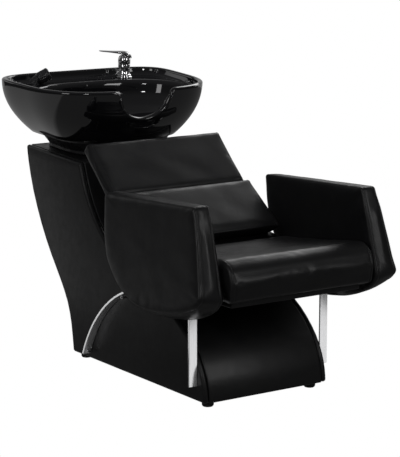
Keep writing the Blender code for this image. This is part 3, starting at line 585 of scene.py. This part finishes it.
def arms():
    """Two arms: a flat inner face, an outer face that flares downward, and a band round between."""
    low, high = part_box("arm_right")
    outline = even(rounded(merged(hull_outline("arm_right"), 0.012), 0.012, 30.0), 168)
    top_width = 0.0576
    flare = 0.125  # how much wider the arm gets for each metre below its top
    knee, foot_rise = 0.45, 0.042  # below the knee the outer face's outline comes up, most at the foot
    top_from, top_blend = 0.55, 0.09  # heights over which a change to the top fades in
    rear_rise, rear_twist = 0.009, 0.004  # the top's rear comes up, less on the outer side
    swept_from, sweep = -0.35, 0.015  # behind this y the inner face runs further back

    for side, sign in (("left", -1), ("right", 1)):
        def place(point, over, lift, sign=sign):
            below = max(0.0, (knee - point.y) / (knee - low.z))
            raised = clamped((point.y - top_from) / top_blend) * (point.x - low.y) / (high.y - low.y)
            z = point.y + foot_rise * below * over + (rear_rise - rear_twist * over) * raised
            width = top_width + flare * (high.z - z)
            behind = max(0.0, (point.x - swept_from) / (high.y - swept_from)) ** 2
            return Vector((sign * (low.x + over * width + lift), point.x + sweep * (1 - over) * behind, z))

        made = upholstered(f"arm_pad_{side}", f"arm_{side}", outline, place, 0.075, 0.0105, 0.0015, 0.0020)
        puffed(made, 0.0026)
        ripple(made, 0.0009, 16.0, 3.0 + sign)
        subdivided(made)


def seat():
    """The seat: a dished top that rolls over a full front edge."""
    low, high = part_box("seat_cushion")
    outline = even(rounded(merged(hull_outline("seat_cushion"), 0.010), 0.016, 30.0), 150)
    half = high.x
    top_from, top_blend = 0.44, 0.03  # heights over which the dish fades in
    dish_depth = 0.013
    dish_front, dish_rear = 0.05, 0.03  # how far the dish stays from the seat's front and rear
    dish_end = 0.95  # share of the way back at which the dish is level again

    def place(point, over, lift):
        x = (2 * over - 1) * half + lift
        on_top = clamped((point.y - top_from) / top_blend)
        backward = clamped((point.x - low.y - dish_front) / (high.y - low.y - dish_front - dish_rear))
        dish = dish_depth * sin(pi * min(1.0, backward * 1.05)) ** 1.2 if 0 < backward < dish_end else 0.0
        return Vector((x, point.x, point.y - on_top * dish * (1 - abs(x / half) ** 2.5)))

    made = upholstered("seat_pad", "seat_cushion", outline, place, 2 * half, 0.014, 0.002, 0.0018)
    puffed(made, 0.0045)
    ripple(made, 0.0016, 11.0, 7.0)
    subdivided(made)


def back():
    """The two reclined cushions of the back, a little wider than their solids."""
    side_overhang = 0.003
    for name, node, edge, seed in (("upper_back_pad", "upper_back_cushion", 0.013, 11.0),
                                   ("lower_back_pad", "lower_back_cushion", 0.014, 13.0)):
        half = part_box(node)[1].x + side_overhang
        outline = even(rounded(merged(hull_outline(node), 0.004), 0.013, 20.0), 110)

        def place(point, over, lift, half=half):
            return Vector(((2 * over - 1) * half + lift, point.x, point.y))

        made = upholstered(name, node, outline, place, 2 * half, edge, 0.001, 0.0014)
        puffed(made, 0.0032)
        ripple(made, 0.0013, 12.0, seed)
        subdivided(made)


def rail():
    """The padded rail across the gap behind the seat, pressed up against the back's lower cushion."""
    low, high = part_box("seat_rear_rail")
    top, rear = high.z + 0.007, high.y + 0.016
    corners = [(low.y, low.z), (rear, low.z), (rear, top + 0.010), (rear - 0.028, top + 0.006), (low.y, top)]
    outline = even(rounded([Vector(corner) for corner in corners], 0.014, 20.0), 64)

    def place(point, over, lift):
        return Vector(((2 * over - 1) * high.x + lift, point.x, point.y))

    upholstered("rail_pad", "seat_rear_rail", outline, place, 2 * high.x, 0.008, 0.002)


# ------------------------------------------------------------------------------------- basin


def around(angle, front_power, rear_power):
    """The superellipse's x and y at an angle, squarer at the rear than at the front."""
    c, s = cos(angle), sin(angle)
    power = rear_power if s > 0 else front_power
    x = abs(c) ** (2 / power) * (1 if c > 0 else -1)
    y = abs(s) ** (2 / power) * (1 if s > 0 else -1)
    return x, y


def rim_point(angle, share, z, inset=0.0):
    """A point of the rim's outline, shrunk to a share and inset, at a height."""
    x, y = around(angle, RIM_FRONT_POWER, RIM_REAR_POWER)
    half_width = RIM_HALF_WIDTH * (1 + RIM_TAPER * y) * share - inset
    return Vector((x * half_width, y * (RIM_HALF_DEPTH * share - inset), z))


def basin_point(angle, level, grow=0.0, drop=0.0):
    """A point of one level of the hollow, grown outward and dropped."""
    z, half_width, front, rear = level
    x, y = around(angle, BASIN_POWER, BASIN_POWER)
    return Vector((x * (half_width + grow), (front + rear) / 2 + y * ((rear - front) / 2 + grow), z - drop))


def skirt_share(depth):
    """The skirt's size at a depth, as a share of the rim's."""
    return 1 - SKIRT_TUCK * (depth / SKIRT_DEPTH) ** 2.2


def ring_angle(heading):
    """The superellipse angle whose rim point lies in a heading from the rim's middle."""
    c, s = cos(heading), sin(heading)
    power = RIM_REAR_POWER if s > 0 else RIM_FRONT_POWER
    reach = (abs(c / RIM_HALF_WIDTH) ** power + abs(s / RIM_HALF_DEPTH) ** power) ** (-1 / power)
    x = (reach * abs(c) / RIM_HALF_WIDTH) ** (power / 2)
    y = (reach * abs(s) / RIM_HALF_DEPTH) ** (power / 2)
    return atan2(y if s > 0 else -y, x if c > 0 else -x)


def front_angle(x, depth):
    """The angle on the front half of the skirt where it has this x at this depth."""
    low, high = -pi, 0.0
    for _ in range(40):
        middle = (low + high) / 2
        if rim_point(middle, skirt_share(depth), -depth).x < x:
            low = middle
        else:
            high = middle
    return low


def notch_edge(count):
    """Where the skirt ends along the front: (x, depth) from left to right, down round the neck notch."""
    half, deep, corner = NOTCH_HALF_WIDTH + LIP, NOTCH_DEPTH + LIP, NOTCH_CORNER
    curve_steps, corner_steps = 40, 10
    turn = notch_turn((LIP + corner) / deep)
    side = half * cos(turn)
    right = []
    for step in range(curve_steps + 1):
        angle = (pi / 2 - turn) * step / curve_steps
        right.append(Vector((half * sin(angle), deep * cos(angle) ** NOTCH_POWER)))
    for step in range(1, corner_steps + 1):
        angle = pi / 2 * step / corner_steps
        right.append(Vector((side + corner * (1 - cos(angle)), LIP + corner * (1 - sin(angle)))))
    right.append(Vector((NOTCH_REGION, LIP)))
    path = [Vector((-point.x, point.y)) for point in right[:0:-1]] + right
    lengths = path_lengths(path)
    return [point_at(path, lengths, lengths[-1] * i / count) for i in range(count + 1)]


def notch_turn(share):
    """The angle, up from the notch's side, at which its outline has sunk to this share of its depth."""
    return atan2(share ** (1 / NOTCH_POWER), sqrt(1 - share ** (2 / NOTCH_POWER)))


def edge_columns():
    """(foot angle, edge angle, edge depth) for each column round the basin, anticlockwise from the left."""
    edge = notch_edge(NOTCH_COLUMNS)
    angles = [front_angle(point.x, point.y) for point in edge]
    first, last = angles[0], angles[-1]
    columns = []
    for i, (point, angle) in enumerate(zip(edge, angles)):
        columns.append((first + (last - first) * i / NOTCH_COLUMNS, angle, point.y))
    start = rim_point(last, 1.0, 0.0)
    heading = atan2(start.y, start.x)
    spread = pi - 2 * heading
    for i in range(1, REST_COLUMNS):
        angle = ring_angle(heading + spread * i / REST_COLUMNS)
        columns.append((angle, angle, LIP))
    return columns


def at_reach(point, reach):
    """The point moved in or out to a distance from the basin's middle, at its own height."""
    scale = reach / hypot(point.x, point.y)
    return Vector((point.x * scale, point.y * scale, point.z))


def inner_outline(angle):
    """The inside of the basin at an angle, from the rim's inner edge to the drain."""
    points = [rim_point(angle, 1.0, z, RIM_WALL + inset) for z, inset in
              ((-LIP, 0.0), (-0.016, 0.0012), (-0.023, 0.003), (-0.0275, 0.0065), (-0.0298, 0.013))]
    level = BASIN_LEVELS[0]
    brow = [basin_point(angle, level, grow, drop) for grow, drop in
            ((0.008, 0.0002), (0.003, 0.0016), (0.0, 0.006))]
    widest = hypot(points[0].x, points[0].y)
    edge = min(widest, hypot(brow[0].x, brow[0].y))
    hollow = brow + [basin_point(angle, level) for level in BASIN_LEVELS[1:]]
    return ([at_reach(point, max(hypot(point.x, point.y), edge)) for point in points]
            + [at_reach(point, min(hypot(point.x, point.y), widest)) for point in hollow])


def inner_rows(foot, edge, depth):
    """Points down the inside of one column, starting where the notch or the rim ends."""
    outline = inner_outline(edge)
    lengths = path_lengths(outline)
    free = lengths[FREE_LEVEL]
    start = 0.0
    for k in range(FREE_LEVEL):
        a, b = outline[k], outline[k + 1]
        if a.z >= -depth > b.z:
            start = lengths[k] + (lengths[k + 1] - lengths[k]) * (a.z + depth) / (a.z - b.z)
    rows = []
    for row in range(BASIN_ROWS):
        share = ROW_STRETCH * row / (BASIN_ROWS - 1)
        if share <= 1.0:
            wanted = start + (free - start) * share
        else:
            wanted = free + (lengths[-1] - free) * (share - 1.0) / (ROW_STRETCH - 1.0)
        turned_outline = inner_outline(edge + (foot - edge) * eased(min(1.0, share)))
        turned_lengths = path_lengths(turned_outline)
        rows.append(point_at(turned_outline, turned_lengths, wanted * turned_lengths[-1] / lengths[-1]))
    return rows


def column_points(foot, edge, depth):
    """One column of the shell but for its lip: (outer rows up, inner rows down and back up under)."""
    outer = []
    for row in range(SKIRT_ROWS):
        share = (row / (SKIRT_ROWS - 1)) ** 0.85
        angle = foot + (edge - foot) * eased(share)
        deep = SKIRT_DEPTH + (depth - SKIRT_DEPTH) * share
        outer.append(rim_point(angle, skirt_share(deep), -deep))
    inner = inner_rows(foot, edge, depth)
    peak = max(0.050, depth + 0.028)  # how far down the hollow between skirt and basin begins
    drain = Vector((DRAIN_RADIUS * cos(foot), DRAIN_RADIUS * sin(foot), BASIN_LEVELS[-1][0]))
    inner.append(drain)
    inner.append(drain - Vector((0.0, 0.0, BASIN_WALL)))
    for level in reversed(BASIN_LEVELS[1:]):
        point = basin_point(foot, level, BASIN_WALL, BASIN_WALL)
        inner.append(Vector((point.x, point.y, min(point.z, -peak))))
    for deep in (peak, 0.5 * (peak + SKIRT_DEPTH), SKIRT_DEPTH):
        inner.append(rim_point(foot, skirt_share(deep), -deep, SKIRT_WALL))
    return outer, inner


def basin():
    """One glazed shell: skirt, rolled rim, recess, hollow and underside, column by column."""
    columns = [column_points(*column) for column in edge_columns()]
    tops = [outer[-1] for outer, _ in columns]
    skins = []
    for i, (outer, inner) in enumerate(columns):
        run = (tops[(i + 1) % len(tops)] - tops[i - 1]).normalized()
        across = inner[0] - outer[-1]
        away = run.cross(across).normalized()
        if away.dot(outer[-1] - outer[-3]) < 0:
            away = -away
        lip = []
        for step in range(1, LIP_STEPS):
            turn = pi * step / LIP_STEPS
            lip.append(outer[-1] + across * (1 - cos(turn)) / 2 + away * LIP * sin(turn) ** 0.9)
        skins.append(outer + lip + inner)
    made = solid("basin", loft(skins, closed=True), "black_ceramic", "bowl", BASIN_FRAME, smooth=180)
    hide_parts("bowl")


# ------------------------------------------------------------------------- mixer and hand shower


def mixer():
    """The mixer: a collared body on the ledge, a dome that turns, and the blade of its lever."""
    stand = BASIN_FRAME @ Matrix.Translation((*MIXER, DECK_Z)) @ Matrix.Rotation(radians(LEVER_TURN), 4, "Z")
    body = [  # radius, height
        (0.012, 0.0), (0.0305, 0.0), (0.0315, 0.0012), (0.0315, 0.0044), (0.0300, 0.0062),
        (0.0278, 0.0068), (0.0272, 0.0080), (0.0272, 0.0112), (0.0258, 0.0128), (0.0232, 0.0134),
        (0.0222, 0.0150), (0.0216, 0.0300), (0.0220, 0.0480), (0.0214, 0.0500), (0.0205, 0.0506),
    ]
    made = solid("mixer_column", turned(body, 64), "chrome", "bowl", stand, smooth=50)
    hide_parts("mixer_escutcheon", "mixer_body")
    dome = [
        (0.0200, 0.0512), (0.0218, 0.0516), (0.0225, 0.0528), (0.0226, 0.0640), (0.0218, 0.0710),
        (0.0196, 0.0768), (0.0150, 0.0816), (0.0080, 0.0842), (0.0020, 0.0848),
    ]
    made = solid("mixer_cap", turned(dome, 64), "chrome", "mixer_swivel", stand, smooth=60)
    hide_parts("mixer_dome")
    sections = [  # along, height, half width, half thickness
        (-0.0255, 0.0735, 0.0090, 0.0035), (-0.0245, 0.0765, 0.0150, 0.0060),
        (-0.0200, 0.0815, 0.0185, 0.0075), (-0.0120, 0.0868, 0.0200, 0.0080),
        (0.0000, 0.0900, 0.0200, 0.0072), (0.0150, 0.0918, 0.0180, 0.0056),
        (0.0320, 0.0932, 0.0155, 0.0040), (0.0520, 0.0948, 0.0135, 0.0030),
        (0.0720, 0.0964, 0.0120, 0.0025), (0.0880, 0.0976, 0.0100, 0.0021),
        (0.0930, 0.0980, 0.0070, 0.0016), (0.0945, 0.0981, 0.0030, 0.0008),
    ]
    squareness = 0.75  # below 1 the blade's section is fuller than an ellipse
    rings = []
    for reach, height, wide, thick in sections:
        ring = []
        for spot in circle(1.0, 0.0, 32):
            y = wide * abs(spot.x) ** squareness * (1 if spot.x > 0 else -1)
            z = thick * abs(spot.y) ** squareness * (1 if spot.y > 0 else -1)
            ring.append((reach, y, height + z))
        rings.append(ring)
    made = solid("mixer_blade", loft(rings), "chrome", "mixer_lever", stand, smooth=70)
    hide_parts("mixer_lever")
    subdivided(made)


def hand_shower():
    """The spray head: a bent neck out of the socket, a fluted barrel and a face with nozzles."""
    foot = Vector((*SHOWER, DECK_Z)) + SHOWER_LEAN * 0.004
    heading = Vector((0.86, -0.28, 0.42)).normalized()
    head = foot + SHOWER_LEAN * 0.012 + heading * 0.010
    bend = foot + SHOWER_LEAN * 0.011
    neck_steps = 12
    rings = []
    for step in range(neck_steps + 1):
        t = step / neck_steps
        middle = foot * (1 - t) ** 2 + bend * 2 * t * (1 - t) + head * t * t
        ahead = ((bend - foot) * (1 - t) + (head - bend) * t).normalized()
        turn = ahead.to_track_quat("Z", "Y").to_matrix()
        radius = 0.0128 + 0.0040 * t + 0.0006 * sin(14 * pi * t)
        rings.append([middle + turn @ spot for spot in circle(radius, 0.0, 40)])
    made = solid("spray_neck", loft(rings), "black_plastic", "hand_shower", BASIN_FRAME, smooth=40)
    stand = BASIN_FRAME @ along(heading, head)
    flutes, sides = 14, 112
    sections = [  # along, radius, depth of the flutes as a share of the radius
        (-0.003, 0.0130, 0.0), (0.000, 0.0180, 0.0), (0.004, 0.0208, 0.0), (0.007, 0.0216, 0.02),
        (0.009, 0.0220, 0.05), (0.022, 0.0228, 0.05), (0.030, 0.0232, 0.05), (0.032, 0.0232, 0.0),
        (0.0335, 0.0226, 0.0), (0.035, 0.0236, 0.0), (0.041, 0.0238, 0.0), (0.044, 0.0228, 0.0),
        (0.0455, 0.0205, 0.0), (0.0440, 0.0190, 0.0), (0.0435, 0.0100, 0.0),
    ]
    rings = []
    for z, radius, flute in sections:
        ring = []
        for i in range(sides):
            angle = 2 * pi * i / sides
            reach = radius * (1 - flute * max(0.0, cos(flutes * angle)) ** 2)
            ring.append((reach * cos(angle), reach * sin(angle), z))
        rings.append(ring)
    barrel = solid("spray_barrel", loft(rings), "black_plastic", "hand_shower", stand, smooth=40)
    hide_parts("shower_handle")
    shape = turned([(0.0188, 0.0436), (0.0188, 0.0450), (0.0176, 0.0456), (0.0040, 0.0458)], 48)
    for radius, count in ((0.0150, 14), (0.0105, 10), (0.0058, 5)):
        for spot in circle(radius, 0.0466, count):
            bmesh.ops.create_cone(shape, cap_ends=True, segments=10, radius1=0.0012, radius2=0.0008,
                                  depth=0.0022, matrix=Matrix.Translation(spot))
    face = solid("spray_face", shape, "rubber", "hand_shower", stand, smooth=40)
    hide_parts("shower_spray_plate")


# ------------------------------------------------------------------------------- carried-over nodes


SLOTS = {row["node"]: row["material_slot"] for row in frame["record"]["subparts"]}


def boards_and_bars():
    """The leather-wrapped boards and the steel parts, each with its edges rounded off."""
    for name in frame["nodes"]:
        for start, width in EDGE_SOFTENING.items():
            if name.startswith(start):
                wrapped(name, SLOTS[name], width)


def finish_nodes():
    """Gives every CAD node the finish of its slot, with only its gentle edges shaded smooth."""
    for name, node in frame["nodes"].items():
        node.data.materials.clear()
        node.data.materials.append(LOOKS[SLOTS[name]])
        node.data.polygons.foreach_set("material_index", [0] * len(node.data.polygons))
        node.data.shade_smooth()
        node.data.set_sharp_from_angle(angle=radians(SHARP_FROM))


# ------------------------------------------------------------------------------- camera and light


def aimed(made, at, towards):
    """Links an object that looks down its own -Z to the scene, at a place and towards a point."""
    bpy.context.scene.collection.objects.link(made)
    made.location = at
    made.rotation_euler = (Vector(towards) - Vector(at)).to_track_quat("-Z", "Y").to_euler()


def camera():
    data = bpy.data.cameras.new("camera")
    data.lens = LENS
    made = bpy.data.objects.new("camera", data)
    aimed(made, CAMERA_AT, LOOK_AT)
    bpy.context.scene.camera = made


def softbox(name, at, towards, size, power):
    """A rectangular light of a size and a power in watts that the camera doesn't see."""
    data = bpy.data.lights.new(name, "AREA")
    data.shape = "RECTANGLE"
    data.size, data.size_y = size
    data.energy = power
    made = bpy.data.objects.new(name, data)
    aimed(made, at, towards)
    made.visible_camera = False
    return made


def backdrop():
    """White to the camera; to all else a dark room, lighter overhead and behind the object."""
    world = bpy.data.worlds.new("studio")
    bpy.context.scene.world = world
    world.use_nodes = True
    nodes = Nodes(world.node_tree)
    output = nodes.add("ShaderNodeOutputWorld")
    direction = nodes.add("ShaderNodeTexCoord").outputs["Generated"]
    facing = nodes.dot(direction, (Vector(LOOK_AT) - Vector(CAMERA_AT)).normalized())
    outer, inner = cos(radians(BACKDROP_OUTER)), cos(radians(BACKDROP_INNER))
    behind = nodes.remap(facing, outer, inner, 0.0, 0.42)
    height = nodes.add("ShaderNodeSeparateXYZ")
    nodes.link(direction, height.inputs[0])
    overhead = nodes.remap(height.outputs["Z"], 0.0, 0.7, 0.045, 0.11)
    dim = nodes.add("ShaderNodeBackground")
    nodes.link(nodes.math("MAXIMUM", behind, overhead), dim.inputs["Strength"])
    white = nodes.add("ShaderNodeBackground")
    white.inputs["Color"].default_value = (1.0, 1.0, 1.0, 1.0)
    nodes.link(nodes.by_ray("Is Camera Ray", white.outputs[0], dim.outputs[0]), output.inputs[0])


def white_floor():
    """White to the camera, dark to all else, with a glow behind the object in its reflections."""
    shape = bmesh.new()
    bmesh.ops.create_circle(shape, cap_ends=True, segments=96, radius=FLOOR_RADIUS)
    mesh = bpy.data.meshes.new("floor")
    shape.to_mesh(mesh)
    shape.free()
    floor = bpy.data.objects.new("floor", mesh)
    bpy.context.scene.collection.objects.link(floor)
    made = bpy.data.materials.new("floor")
    made.use_nodes = True
    nodes = Nodes(made.node_tree)
    output = nodes.add("ShaderNodeOutputMaterial")
    grey = nodes.add("ShaderNodeBsdfDiffuse")
    grey.inputs["Color"].default_value = (0.10, 0.10, 0.10, 1.0)
    rearward = nodes.dot(nodes.add("ShaderNodeTexCoord").outputs["Object"], REAR_LEFT)
    glow = nodes.add("ShaderNodeEmission")
    nodes.link(nodes.remap(rearward, 1.02, 1.20, 0.10, 0.28), glow.inputs["Strength"])
    white = nodes.add("ShaderNodeEmission")
    unseen = nodes.by_ray("Is Glossy Ray", glow.outputs[0], grey.outputs[0])
    nodes.link(nodes.by_ray("Is Camera Ray", white.outputs[0], unseen), output.inputs[0])
    mesh.materials.append(made)


def lights():
    """Soft boxes round the object, and two cards on the floor that light only the side bars."""
    softbox("key_above", (-0.6, 0.3, 3.0), (0.0, 0.1, 0.5), (2.4, 2.4), 36.0).visible_glossy = False
    softbox("rim_right", (1.9, 1.1, 2.3), (0.1, -0.5, 0.5), (1.3, 1.1), 13.0)
    card = softbox("card_for_bars", (0.5, -1.6, 0.004), (0.5, -1.6, 1.0), (2.0, 2.2), 12.0)
    side_card = softbox("side_card_for_bars", (-1.3, 1.0, 0.004), (-1.3, 1.0, 1.0), (2.0, 2.0), 8.0)
    bars = bpy.data.collections.new("bars")
    for name in ("side_bar_left_finished", "side_bar_right_finished"):
        bars.objects.link(bpy.data.objects[name])
    for linked in (card, side_card):
        linked.light_linking.receiver_collection = bars
    softbox("fill_left", (-3.2, -1.2, 1.7), (0.0, 0.0, 0.5), (0.9, 1.6), 11.0)
    softbox("strip_right", (1.4, -3.6, 1.9), (0.0, 0.0, 0.6), (1.0, 1.6), 16.0)
    softbox("behind_left", (-1.6, 3.8, 1.8), (0.0, 0.3, 0.6), (1.6, 1.4), 3.0)
    softbox("far_right", (3.9, 0.6, 1.7), (0.0, 0.0, 0.5), (1.2, 1.6), 8.0)
    softbox("window_front", (-2.0, -4.2, 2.4), (0.0, 0.0, 0.7), (0.6, 0.4), 15.0)


camera()
arms()
seat()
back()
rail()
boards_and_bars()
basin()
mixer()
hand_shower()
finish_nodes()
bpy.context.scene.view_settings.view_transform = "Standard"
backdrop()
white_floor()
lights()
